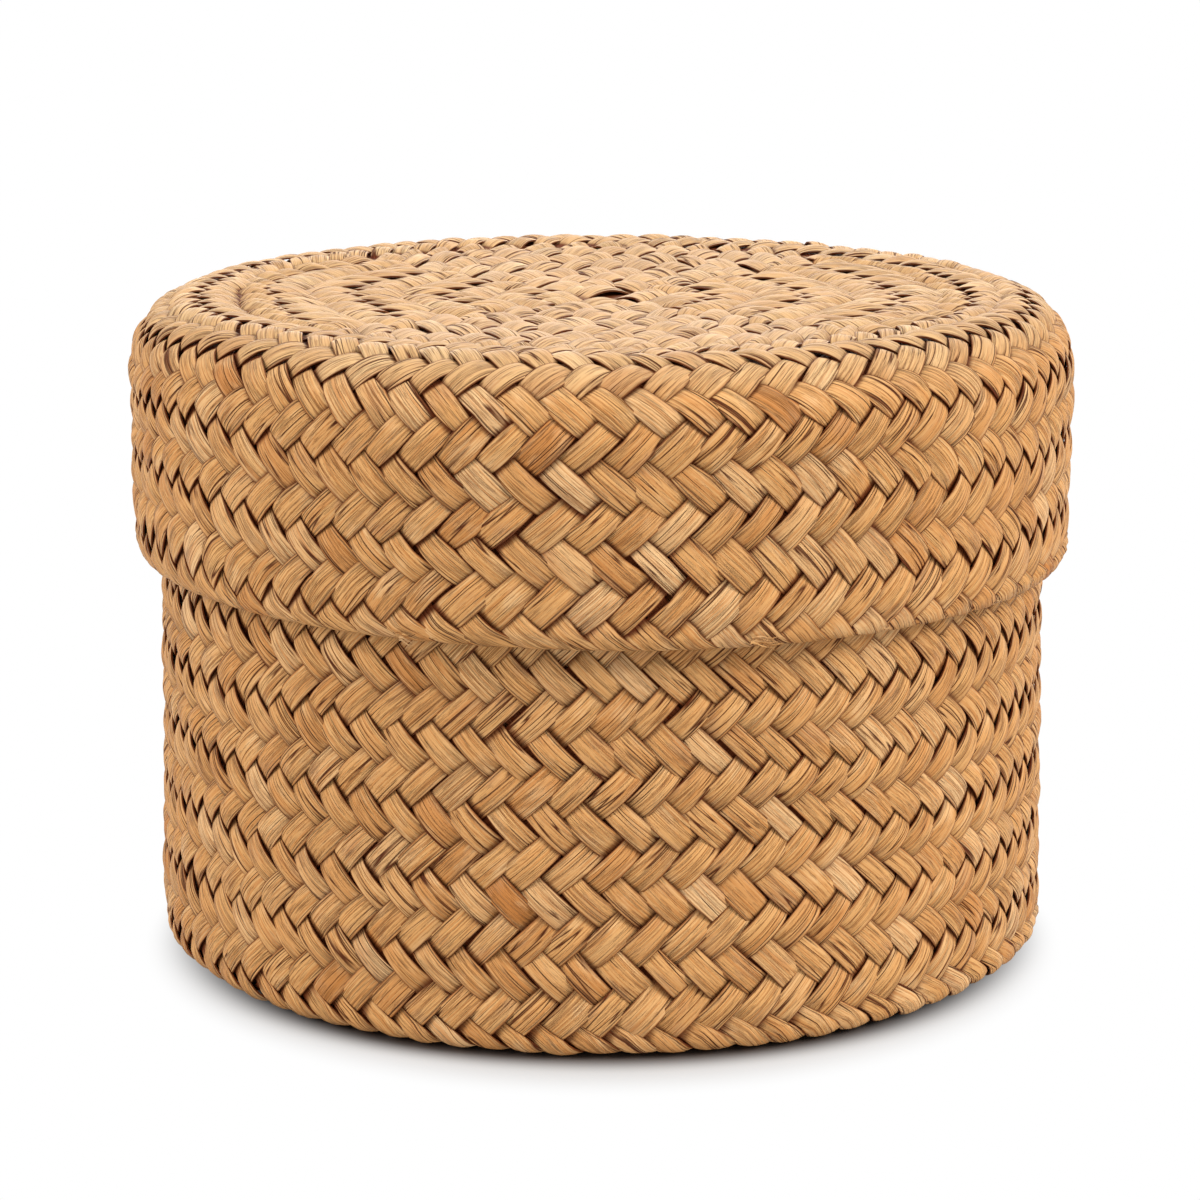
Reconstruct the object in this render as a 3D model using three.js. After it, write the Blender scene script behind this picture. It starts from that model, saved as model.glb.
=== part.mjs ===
// A round box plaited from palm-leaf strips, with a deep lid that slips over it.
// Millimetres, +Z up. The origin is on the table, under the middle of the base.

import * as THREE from 'three';

// Box
const BOX_HEIGHT = 164.8; // table to the top of the mouth
const BOX_FOOT_RADIUS = 120.2; // over the strips, where the heel becomes the wall
const BOX_MOUTH_RADIUS = 116.5; // over the strips, at the mouth
const HEEL_RADIUS = 4.6; // outside turn from the base into the wall

// Lid
const LID_SKIRT = 49.9; // straight wall from the shoulder down to the lower edge
const SHOULDER_RADIUS = 18.75; // outside turn from the top into the skirt
const TOP_DISH = 1.8; // how far the middle of the top has sunk

// Layers of one wall, from the outside in
const WEAVE_THICKNESS = 2.2; // outer layer, over the strips
const FLOAT_RISE = 1.5; // how far each strip crowns above the crossings beside it
const LINING_THICKNESS = 1.5; // inner layer, where the strips run back
const RIM_FOLD_HEIGHT = 5; // band where the strips fold over the edge

// Clearances
const LAYER_GAP = 0.3; // between the layers of a wall, and between pieces that meet
const LID_FIT = 3; // radial play between the box and the lid's lower edge
const LID_SEAT_GAP = 0.4; // between the lid's shoulder and the mouth that carries it

// Plaiting
const STRIP_PITCH = 9.4; // one strip to the next, measured level round the foot of the wall
const ROW_HEIGHT = 9.4; // one row of floats on the walls
const SHOULDER_ROW = 7.4; // one row of floats round the shoulder, where they are pressed together
const TOP_ROW = 13; // one row of floats on the flat top, where they are drawn apart
const BASE_ROWS_PAST_SQUARE = 1; // rows of the flat base between its square start and the heel
const SHOWN_ABOVE_LID_EDGE = 6; // how far up under the lid the box keeps its raised floats

// Facets
const SIDES = 40; // facets round the plain pieces
const TURN_STEPS = 4; // facets round a quarter turn
const FOLD_STEPS = 4; // facets round the half-round edge of a fold

const WALL = WEAVE_THICKNESS + LAYER_GAP + LINING_THICKNESS;
const LINING_DEPTH = WEAVE_THICKNESS + LAYER_GAP;
const FOLD_RADIUS = WALL / 2;

// The plait starts as a square, and each of its sides holds twice this many strips.
const SIDES_OF_SQUARE = 4;
const halfSide = Math.round((2 * Math.PI * BOX_FOOT_RADIUS) / STRIP_PITCH / (2 * SIDES_OF_SQUARE));

// The box wall leans in a little from the heel to the mouth.
function boxRadiusAt(height) {
  const climb = (height - HEEL_RADIUS) / (BOX_HEIGHT - HEEL_RADIUS);
  return BOX_FOOT_RADIUS + climb * (BOX_MOUTH_RADIUS - BOX_FOOT_RADIUS);
}

const boxFlatRadius = BOX_FOOT_RADIUS - HEEL_RADIUS;
const boxWallTop = BOX_HEIGHT - RIM_FOLD_HEIGHT - LAYER_GAP;
const mouthMiddle = new THREE.Vector2(BOX_MOUTH_RADIUS - FOLD_RADIUS, BOX_HEIGHT - FOLD_RADIUS);

// The lid hangs by the inside of its shoulder on the rounded mouth of the box. Its radius and
// its height depend on each other through the lean of the box, so they are settled by turns.
const SETTLING_TURNS = 12;
const seatReach = SHOULDER_RADIUS - WALL - LID_SEAT_GAP - FOLD_RADIUS;
const lid = { radius: Math.max(BOX_FOOT_RADIUS, BOX_MOUTH_RADIUS) + LID_FIT + WALL };
for (let turn = 0; turn < SETTLING_TURNS; turn += 1) {
  lid.flatRadius = lid.radius - SHOULDER_RADIUS;
  const seatOffset = Math.max(mouthMiddle.x - lid.flatRadius, 0);
  lid.shoulderHeight = mouthMiddle.y - Math.sqrt(seatReach ** 2 - seatOffset ** 2);
  lid.edge = lid.shoulderHeight - LID_SKIRT;
  lid.radius = Math.max(boxRadiusAt(lid.edge), BOX_MOUTH_RADIUS) + LID_FIT + WALL;
}
lid.flatRadius = lid.radius - SHOULDER_RADIUS;
lid.top = lid.shoulderHeight + SHOULDER_RADIUS;
const lidWallBottom = lid.edge + RIM_FOLD_HEIGHT + LAYER_GAP;

// Sections: half profiles as radius and height, from the bottom up, a given depth below the
// outside surface.

function quarterTurn(middle, radius, startAngle, endAngle) {
  const points = [];
  for (let step = 0; step <= TURN_STEPS; step += 1) {
    const angle = THREE.MathUtils.lerp(startAngle, endAngle, step / TURN_STEPS);
    points.push(new THREE.Vector2(
      middle.x + radius * Math.cos(angle),
      middle.y + radius * Math.sin(angle),
    ));
  }
  return points;
}

function boxSection(depth) {
  const middle = new THREE.Vector2(boxFlatRadius, HEEL_RADIUS);
  const heel = quarterTurn(middle, HEEL_RADIUS - depth, -Math.PI / 2, 0);
  return [...heel, new THREE.Vector2(boxRadiusAt(boxWallTop) - depth, boxWallTop)];
}

function lidSection(depth) {
  const middle = new THREE.Vector2(lid.flatRadius, lid.shoulderHeight);
  const shoulder = quarterTurn(middle, SHOULDER_RADIUS - depth, 0, Math.PI / 2);
  return [new THREE.Vector2(lid.radius - depth, lidWallBottom), ...shoulder];
}

// A half-round fold over the end of a wall; facing is 1 at a mouth and -1 at a lower edge.
function foldSection(outerRadius, edgeHeight, facing) {
  const middleRadius = outerRadius - FOLD_RADIUS;
  const points = [
    new THREE.Vector2(middleRadius - FOLD_RADIUS, edgeHeight - facing * RIM_FOLD_HEIGHT),
    new THREE.Vector2(outerRadius, edgeHeight - facing * RIM_FOLD_HEIGHT),
  ];
  for (let step = 0; step <= FOLD_STEPS; step += 1) {
    const angle = (Math.PI * step) / FOLD_STEPS;
    points.push(new THREE.Vector2(
      middleRadius + FOLD_RADIUS * Math.cos(angle),
      edgeHeight + facing * FOLD_RADIUS * (Math.sin(angle) - 1),
    ));
  }
  return facing > 0 ? points : points.reverse();
}

// Plain turned pieces

// Revolves a closed outline that runs anticlockwise in radius and height.
function turned(outline) {
  const geometry = new THREE.LatheGeometry(outline, SIDES);
  return geometry.rotateX(Math.PI / 2);
}

function turnedRing(outline) {
  return turned([...outline, outline[0]]);
}

function turnedDisc(radius, underside, thickness, dish) {
  return turned([
    new THREE.Vector2(0, underside - dish),
    new THREE.Vector2(radius, underside),
    new THREE.Vector2(radius, underside + thickness),
    new THREE.Vector2(0, underside + thickness - dish),
  ]);
}

// Plaited pieces

// The outside of the lid, by rows counted from the middle of the top to its edge, and again from
// the edge of the square start over the shoulder down to the lower edge. More strips are laid in
// where the top turns into the shoulder, so the skirt has as many strips as the box.
const topRadius = lid.flatRadius - LAYER_GAP;
const topRows = Math.round(topRadius / TOP_ROW);
const shoulderRows = Math.round(((Math.PI / 2) * SHOULDER_RADIUS) / SHOULDER_ROW);
const skirtRows = Math.round((lid.shoulderHeight - lidWallBottom) / ROW_HEIGHT);
const lidWallRow = halfSide + shoulderRows;
const lidLastRow = lidWallRow + skirtRows;

function topSurface(row, depth) {
  const out = row / topRows;
  return new THREE.Vector2(topRadius * out, lid.top - depth - TOP_DISH * (1 - out));
}

function skirtSurface(row, depth) {
  if (row <= lidWallRow) {
    const angle = (Math.PI / 2) * (1 - (row - halfSide) / shoulderRows);
    return new THREE.Vector2(
      lid.flatRadius + (SHOULDER_RADIUS - depth) * Math.cos(angle),
      lid.shoulderHeight + (SHOULDER_RADIUS - depth) * Math.sin(angle),
    );
  }
  const drop = (row - lidWallRow) / skirtRows;
  return new THREE.Vector2(
    lid.radius - depth,
    THREE.MathUtils.lerp(lid.shoulderHeight, lidWallBottom, drop),
  );
}

// The outside of the box wall, by rows counted up from the edge of the base: one row turns the
// heel. The rows stop a little above the lid's edge, and the wall under the lid stays plain.
const boxRows = Math.round((lid.edge + SHOWN_ABOVE_LID_EDGE - HEEL_RADIUS) / ROW_HEIGHT);
const boxFirstRow = halfSide + BASE_ROWS_PAST_SQUARE;
const boxLastRow = boxFirstRow + 1 + boxRows;

function boxSurface(row, depth) {
  const climb = row - boxFirstRow;
  if (climb <= 1) {
    const angle = (Math.PI / 2) * (climb - 1);
    return new THREE.Vector2(
      boxFlatRadius + (HEEL_RADIUS - depth) * Math.cos(angle),
      HEEL_RADIUS + (HEEL_RADIUS - depth) * Math.sin(angle),
    );
  }
  const height = HEEL_RADIUS + (climb - 1) * ROW_HEIGHT;
  return new THREE.Vector2(boxRadiusAt(height) - depth, height);
}

// Collects triangles of a solid that is round the Z axis.
class RoundFacets {
  constructor() {
    this.coordinates = [];
  }

  place(angle, section) {
    return [section.x * Math.cos(angle), section.x * Math.sin(angle), section.y];
  }

  triangle(first, second, third) {
    this.coordinates.push(...first, ...second, ...third);
  }

  fan(middle, outline) {
    outline.forEach((corner, index) => {
      this.triangle(middle, corner, outline[(index + 1) % outline.length]);
    });
  }

  // Joins two level rings of evenly spread points; a ring with no points is one on the axis.
  bridge(from, to) {
    const onRing = (ring, index) => {
      const share = ring.count ? index / ring.count : 0;
      return this.place(2 * Math.PI * share, ring.section);
    };
    let near = 0;
    let far = 0;
    while (near < from.count || far < to.count) {
      const farDone = far >= to.count;
      const nearFirst = (near + 1) * to.count <= (far + 1) * from.count;
      if (near < from.count && (farDone || nearFirst)) {
        this.triangle(onRing(from, near), onRing(to, far), onRing(from, near + 1));
        near += 1;
      } else {
        this.triangle(onRing(from, near), onRing(to, far), onRing(to, far + 1));
        far += 1;
      }
    }
  }

  bridgeAll(rings) {
    for (let index = 1; index < rings.length; index += 1) {
      this.bridge(rings[index - 1], rings[index]);
    }
  }

  geometry() {
    const geometry = new THREE.BufferGeometry();
    geometry.setAttribute('position', new THREE.Float32BufferAttribute(this.coordinates, 3));
    geometry.computeVertexNormals();
    return geometry;
  }
}

// Strips cross on the bias, over two and under two, so the surface shows rows of floats that
// lean left and right by turns, each one strip wide and two long, biting into the next row by
// half a row. Inside the square start of the plait the rows are squares pulled round, with four
// sides that meet at the corners; past it they run right round the wall.
class Plait {
  constructor(surface, facing) {
    this.surface = surface;
    this.facing = facing;
    this.facets = new RoundFacets();
  }

  corner(side, [along, row], depth) {
    const half = Math.min(row, halfSide);
    const angle = (Math.PI / 2) * side + (half ? ((Math.PI / 4) * along) / half : 0);
    return this.facets.place(angle, this.surface(row, depth));
  }

  ring(row, depth) {
    const count = 2 * SIDES_OF_SQUARE * Math.min(row, halfSide);
    return { count, section: this.surface(row, depth) };
  }

  // Whether a crossing, given by its middle, lies on its own side of the square.
  onSide([along, row]) {
    return row >= halfSide || Math.abs(along) < row;
  }

  addFloat(side, column, row, part) {
    const lean = row % 2 === 0 ? 1 : -1;
    const at = (across, up) => [column + lean * across, row + up];
    const [start, tooth, near, tip, end, far] = [
      at(0, 0), at(0.5, -0.5), at(1, 0), at(1.5, 0.5), at(1, 1), at(0.5, 0.5),
    ];
    const hasFirst = this.onSide(at(0.5, 0));
    const hasSecond = this.onSide(at(1, 0.5));
    let outline = [];
    if (part === 'tooth') {
      outline = hasFirst ? [start, tooth, near] : [];
    } else if (hasFirst) {
      const opening = part === 'cut' ? [start, near] : [start, tooth, near];
      outline = hasSecond ? [...opening, tip, end, far] : [...opening, far];
    } else if (hasSecond) {
      outline = [far, near, tip, end];
    }
    if (outline.length === 0) {
      return;
    }
    if (lean * this.facing < 0) {
      outline.reverse();
    }
    const corners = outline.map((lattice) => this.corner(side, lattice, FLOAT_RISE));
    if (part === 'tooth') {
      this.facets.triangle(...corners);
      return;
    }
    const middle = [0, 1].map((axis) => (
      outline.reduce((sum, lattice) => sum + lattice[axis], 0) / outline.length
    ));
    this.facets.fan(this.corner(side, middle, 0), corners);
  }

  addRow(row, part) {
    const half = Math.min(row, halfSide);
    const lean = row % 2 === 0 ? 1 : -1;
    for (let side = 0; side < SIDES_OF_SQUARE; side += 1) {
      for (let cell = -half - 1; cell <= half; cell += 1) {
        const column = lean > 0 ? cell : -cell;
        if (row < halfSide || (cell >= -half && cell < half)) {
          this.addFloat(side, column, row, part);
        }
      }
    }
  }

  // Raised floats from one row to another, cut off level at both ends.
  addRows(firstRow, lastRow) {
    for (let row = firstRow; row < lastRow; row += 1) {
      this.addRow(row, row === firstRow && row > 0 ? 'cut' : 'whole');
    }
    this.addRow(lastRow, 'tooth');
  }

  // Closes the solid from the last row over the back to the first row.
  close(backRings, firstRing, lastRing) {
    const rings = [lastRing, ...backRings, firstRing];
    this.facets.bridgeAll(this.facing > 0 ? rings.reverse() : rings);
    return this.facets.geometry();
  }
}

function plainRings(section) {
  return section.map((point) => ({ count: SIDES, section: point }));
}

function plaitedTop() {
  const plait = new Plait(topSurface, -1);
  plait.addRows(0, topRows);
  const edge = topSurface(topRows, WEAVE_THICKNESS);
  const axis = { count: 0, section: topSurface(0, WEAVE_THICKNESS) };
  const rings = [plait.ring(topRows, FLOAT_RISE), ...plainRings([edge]), axis];
  plait.facets.bridgeAll(rings);
  return plait.facets.geometry();
}

function plaitedSkirt() {
  const plait = new Plait(skirtSurface, -1);
  plait.addRows(halfSide, lidLastRow);
  const back = plainRings(lidSection(WEAVE_THICKNESS));
  return plait.close(back, plait.ring(halfSide, FLOAT_RISE), plait.ring(lidLastRow, FLOAT_RISE));
}

function plaitedBoxWall() {
  const plait = new Plait(boxSurface, 1);
  plait.addRows(boxFirstRow, boxLastRow);
  const upperEdge = new THREE.Vector2(boxRadiusAt(boxWallTop) - FLOAT_RISE, boxWallTop);
  const back = plainRings([...boxSection(WEAVE_THICKNESS), upperEdge]).reverse();
  return plait.close(back, plait.ring(boxFirstRow, FLOAT_RISE), plait.ring(boxLastRow, FLOAT_RISE));
}

// Assembly

const LEAF_ROUGHNESS = 0.62;
const WEAVE_COLOUR = '#bd935a';
const LINING_COLOUR = '#c7a26b';
const FOLD_COLOUR = '#ad8049';

function piece(name, geometry, colour) {
  const palmLeaf = new THREE.MeshStandardMaterial({
    color: colour,
    roughness: LEAF_ROUGHNESS,
    metalness: 0,
  });
  const mesh = new THREE.Mesh(geometry, palmLeaf);
  mesh.name = name;
  return mesh;
}

function ringBetween(section, outerDepth, innerDepth) {
  return turnedRing([...section(outerDepth), ...section(innerDepth).reverse()]);
}

const baseRadius = boxFlatRadius - LAYER_GAP;
const baseWeave = turnedDisc(baseRadius, 0, WEAVE_THICKNESS, 0);
const baseLining = turnedDisc(baseRadius, LINING_DEPTH, LINING_THICKNESS, 0);

const box = new THREE.Group();
box.add(
  piece('box_base_weave', baseWeave, WEAVE_COLOUR),
  piece('box_base_lining', baseLining, LINING_COLOUR),
  piece('box_wall_weave', plaitedBoxWall(), WEAVE_COLOUR),
  piece('box_wall_lining', ringBetween(boxSection, LINING_DEPTH, WALL), LINING_COLOUR),
  piece('box_rim_fold', turnedRing(foldSection(BOX_MOUTH_RADIUS, BOX_HEIGHT, 1)), FOLD_COLOUR),
);

const topLining = turnedDisc(topRadius, lid.top - WALL, LINING_THICKNESS, TOP_DISH);

const lidGroup = new THREE.Group();
lidGroup.add(
  piece('lid_top_weave', plaitedTop(), WEAVE_COLOUR),
  piece('lid_top_lining', topLining, LINING_COLOUR),
  piece('lid_skirt_weave', plaitedSkirt(), WEAVE_COLOUR),
  piece('lid_skirt_lining', ringBetween(lidSection, LINING_DEPTH, WALL), LINING_COLOUR),
  piece('lid_rim_fold', turnedRing(foldSection(lid.radius, lid.edge, -1)), FOLD_COLOUR),
);

const group = new THREE.Group();
group.add(box, lidGroup);

export default group;
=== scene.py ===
"""A round box plaited from palm-leaf strips, with a deep lid that slips over it.

Every strip of the plait is laid singly: it runs from one rim across the flat end and back to the
rim, over two strips and under two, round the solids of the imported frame. Metres, +Z up.
"""

import logging
import math
from dataclasses import dataclass, replace
from enum import Enum
from typing import Any

import bpy
import numpy as np
from mathutils import Euler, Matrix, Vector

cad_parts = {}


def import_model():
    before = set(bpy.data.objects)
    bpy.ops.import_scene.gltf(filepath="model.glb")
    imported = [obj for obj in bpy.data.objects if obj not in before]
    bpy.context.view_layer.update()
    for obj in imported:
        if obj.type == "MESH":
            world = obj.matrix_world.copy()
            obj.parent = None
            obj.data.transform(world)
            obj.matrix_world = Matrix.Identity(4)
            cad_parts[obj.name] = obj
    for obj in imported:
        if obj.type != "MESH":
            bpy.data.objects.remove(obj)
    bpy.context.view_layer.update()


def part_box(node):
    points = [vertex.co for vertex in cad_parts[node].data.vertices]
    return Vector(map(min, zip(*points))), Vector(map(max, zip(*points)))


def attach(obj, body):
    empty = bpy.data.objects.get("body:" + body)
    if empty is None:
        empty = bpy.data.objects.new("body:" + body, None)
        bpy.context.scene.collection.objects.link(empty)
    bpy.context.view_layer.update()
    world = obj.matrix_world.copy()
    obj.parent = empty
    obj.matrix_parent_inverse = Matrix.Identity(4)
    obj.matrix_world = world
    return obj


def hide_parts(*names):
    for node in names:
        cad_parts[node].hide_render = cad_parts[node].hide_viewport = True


logger = logging.getLogger("woven_box")

MM = 0.001
IMAGE_SIDE = 1200
SENSOR_WIDTH = 36.0
SHARP_EDGE = math.radians(50.0)
LOW_SIDE = math.radians(-20.0)

Link = bpy.types.NodeSocket
Array = np.ndarray
Colour = tuple[float, float, float, float]
Marks = tuple[tuple[float, float], ...]


class Family(Enum):
    """The two sets of strips that cross each other."""

    RISING = "rising"
    FALLING = "falling"


class Side(Enum):
    """The four sides of the square that the plait starts from, by the angle of their middle."""

    RIGHT = 0.0
    BACK = 0.5 * math.pi
    LEFT = math.pi
    FRONT = -0.5 * math.pi


class Facing(Enum):
    """Which way the outside of a flat end looks."""

    UP = 1
    DOWN = -1


@dataclass(frozen=True)
class Bundle:
    """The strips of one family that turn round one corner of the square start.

    Attributes:
        name: Where the bundle lies, for its piece's name.
        family: The family that its strips belong to.
        positive: Whether the strips lie on the positive side of the middle.
        before: The side that the strips' first halves leave by.
        after: The side that the strips' second halves leave by.
    """

    name: str
    family: Family
    positive: bool
    before: Side
    after: Side


BUNDLES = (
    Bundle("front_right", Family.RISING, True, Side.FRONT, Side.RIGHT),
    Bundle("back_left", Family.RISING, False, Side.LEFT, Side.BACK),
    Bundle("back_right", Family.FALLING, True, Side.BACK, Side.RIGHT),
    Bundle("front_left", Family.FALLING, False, Side.LEFT, Side.FRONT),
)


class Val:
    """A shader socket that takes part in Python expressions."""

    def __init__(self, shader: "Shader", link: Link) -> None:
        """Keeps the socket and the shader that it belongs to."""
        self.shader = shader
        self.link = link

    def _math(self, operation: str, first: Any, second: Any) -> "Val":
        """Adds one Math node for two values."""
        return self.shader.node("ShaderNodeMath", {"operation": operation}, {0: first, 1: second})

    def __add__(self, other: Any) -> "Val":
        """Adds."""
        return self._math("ADD", self, other)

    __radd__ = __add__

    def __sub__(self, other: Any) -> "Val":
        """Subtracts."""
        return self._math("SUBTRACT", self, other)

    def __rsub__(self, other: Any) -> "Val":
        """Subtracts from a number."""
        return self._math("SUBTRACT", other, self)

    def __mul__(self, other: Any) -> "Val":
        """Multiplies."""
        return self._math("MULTIPLY", self, other)

    __rmul__ = __mul__

    def __abs__(self) -> "Val":
        """The size of a value."""
        return self._math("ABSOLUTE", self, 0.0)

    def at_least(self, other: Any) -> "Val":
        """The larger of two values."""
        return self._math("MAXIMUM", self, other)

    def rise(self, low: float, high: float) -> "Val":
        """A smooth step from 0 at low to 1 at high.

        Args:
            low: The value where the step starts.
            high: The value where it ends.

        Returns:
            The stepped value.
        """
        settings = {"interpolation_type": "SMOOTHSTEP"}
        return self.shader.node("ShaderNodeMapRange", settings, {"Value": self, 1: low, 2: high})


class Shader:
    """The node tree of one material or of the world."""

    def __init__(self, tree: bpy.types.NodeTree) -> None:
        """Empties the tree."""
        self.tree = tree
        tree.nodes.clear()

    def node(self, kind: str, settings: dict[str, Any] | None = None,
             sockets: dict[Any, Any] | None = None, output: Any = 0) -> Val:
        """Adds a node.

        Args:
            kind: The node's type.
            settings: Its settings, such as a Math node's operation.
            sockets: Values or links of its input sockets, by name or number.
            output: The output socket that is returned.

        Returns:
            The output socket, wrapped.
        """
        made = self.tree.nodes.new(kind)
        for name, value in (settings or {}).items():
            setattr(made, name, value)
        for name, value in (sockets or {}).items():
            if isinstance(value, Val):
                self.tree.links.new(value.link, made.inputs[name])
            else:
                made.inputs[name].default_value = value
        return Val(self, made.outputs[output] if len(made.outputs) else None)

    def mix(self, share: Any, first: Any, second: Any, blend: str = "MIX") -> Val:
        """Mixes two colours.

        Args:
            share: The share of the second colour.
            first: The first colour.
            second: The second colour.
            blend: How the two are mixed.

        Returns:
            The mixed colour.
        """
        settings = {"data_type": "RGBA", "blend_type": blend}
        return self.node("ShaderNodeMix", settings, {0: share, 6: first, 7: second}, output=2)


@dataclass(frozen=True)
class Streak:
    """Noise drawn out along a strip.

    Attributes:
        along: Noise cells per metre along the strip.
        across: Noise cells per metre across it.
        detail: Octaves of the noise.
    """

    along: float
    across: float
    detail: float

    def add(self, shader: Shader, uv: Val) -> Val:
        """Adds the noise to a tree.

        Args:
            shader: The tree to add to.
            uv: The strip's length and width in metres.

        Returns:
            The noise value.
        """
        scale = (self.along, self.across, 1.0)
        place = shader.node("ShaderNodeMapping", None, {"Vector": uv, "Scale": scale})
        sockets = {"Vector": place, "Scale": 1.0, "Detail": self.detail, "Roughness": 0.6}
        return shader.node("ShaderNodeTexNoise", {"noise_dimensions": "2D"}, sockets)


@dataclass(frozen=True)
class PalmLeaf:
    """Dried palm leaf: lengthwise fibres and cracks, strips of several browns, a satin face.

    Attributes:
        name: The material's name.
        pale: Colour of the palest strips.
        golden: Colour of most strips.
        ruddy: Colour of the reddest strips.
        grey: Colour of weathered stretches.
        crack: Colour inside cracks.
        shade: Colour of the painted shade where a strip dives under its neighbours and along strip
            edges.
        sheen_colour: Colour of a painted sheen on the top, standing in for its gloss under grazing
            light.
        sheen_heights: Heights where the painted sheen begins and where it is full.
        fibre_depth: Height of the fibre relief in metres.
        roughness: Roughness of a clean face.
        fibres: Fine fibres.
        splits: Where long splits run.
        breaks: Where splits and veins break off.
        veins: Where thin veins run.
        dashes: Short dark dashes.
        blotches: Weathered and pale stretches.
        creases: Where the edges are creased.
    """

    name: str
    pale: Colour = (0.605, 0.378, 0.182, 1.0)
    golden: Colour = (0.52, 0.275, 0.1, 1.0)
    ruddy: Colour = (0.37, 0.132, 0.028, 1.0)
    grey: Colour = (0.36, 0.19, 0.092, 1.0)
    crack: Colour = (0.058, 0.009, 0.001, 1.0)
    shade: Colour = (0.088, 0.013, 0.001, 1.0)
    sheen_colour: Colour = (0.44, 0.345, 0.20, 1.0)
    sheen_heights: tuple[float, float] = (0.161, 0.1705)
    fibre_depth: float = 0.0003
    roughness: float = 0.52
    fibres: Streak = Streak(45.0, 2100.0, 3.0)
    splits: Streak = Streak(11.0, 330.0, 1.5)
    breaks: Streak = Streak(34.0, 170.0, 2.0)
    veins: Streak = Streak(18.0, 1000.0, 2.0)
    dashes: Streak = Streak(150.0, 2700.0, 2.0)
    blotches: Streak = Streak(60.0, 110.0, 3.0)
    creases: Streak = Streak(26.0, 40.0, 1.0)

    def make(self) -> bpy.types.Material:
        """Builds the material from the strip's own length, width and tone.

        Returns:
            The material.
        """
        material = bpy.data.materials.new(self.name)
        material.use_nodes = True
        shader = Shader(material.node_tree)
        uv = shader.node("ShaderNodeUVMap", {"uv_map": "strip"})
        tone, dive, across = (
            shader.node("ShaderNodeAttribute", {"attribute_name": name}, output="Fac")
            for name in ("tone", "dive", "across"))
        place = shader.node("ShaderNodeTexCoord", output="Object")
        up = shader.node("ShaderNodeSeparateXYZ", None, {0: place}, output="Z")

        fibres, splits, broken, veins, dashes, blotches, creases = (
            streak.add(shader, uv) for streak in (
                self.fibres, self.splits, self.breaks, self.veins, self.dashes, self.blotches,
                self.creases))

        # A pale line near each strip's edge: painted highlight where the leaf's edge is folded.
        edge = 1.0 - abs(across - 0.76).rise(0.02, 0.09)
        # Painted shade in a band along each strip's edges, where it meets its neighbours.
        edge_shade = across.rise(0.88, 1.0)
        split_line = (1.0 - abs(splits - 0.5).rise(0.0, 0.026)) * broken.rise(0.45, 0.54)
        vein_line = (1.0 - abs(veins - 0.5).rise(0.0, 0.045)) * broken.rise(0.60, 0.44)
        crease = (1.0 - abs(across - 0.80).rise(0.0, 0.07)) * creases.rise(0.50, 0.58)
        dash = dashes.rise(0.56, 0.68)
        colour = shader.mix(tone.rise(-0.2, 0.54), self.ruddy, self.golden)
        for share, laid_over in (
            (tone.rise(0.55, 1.0), self.pale),
            (blotches.rise(0.54, 0.76) * 0.50, self.grey),
            (blotches.rise(0.46, 0.24) * 0.60, self.pale),
            (fibres.rise(0.40, 0.66) * 0.62, self.ruddy),
            # Painted sheen: the top and upper shoulder are paled with height, standing in for gloss
            # under grazing light.
            (up.rise(*self.sheen_heights) * 0.35, self.sheen_colour),
            # Painted highlight near strip edges.
            (edge * 0.25, self.pale),
            (dash * 0.30, self.crack),
            (vein_line * 0.42, self.crack),
            (crease * 0.70, self.crack),
            (split_line * 0.97, self.crack),
            # Painted shade along strip edges.
            (edge_shade * 0.90, self.shade),
            # Painted shade where a strip dives under its neighbours.
            (dive.rise(0.03, 0.40) * 0.96, self.shade),
        ):
            colour = shader.mix(share, colour, laid_over)

        height = fibres * 0.5 - dash * 0.4 - vein_line * 0.6 - crease * 1.1 - split_line * 1.4
        bump = shader.node("ShaderNodeBump", None, {
            "Strength": 0.9, "Distance": self.fibre_depth, "Height": height,
        })
        rough = self.roughness + (fibres - 0.5) * 0.22 + split_line * 0.25 + dive * 0.4
        surface = shader.node("ShaderNodeBsdfPrincipled", None, {
            "Base Color": colour, "Roughness": rough, "Normal": bump, "Specular IOR Level": 0.1,
        })
        shader.node("ShaderNodeOutputMaterial", None, {"Surface": surface})
        return material


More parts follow.
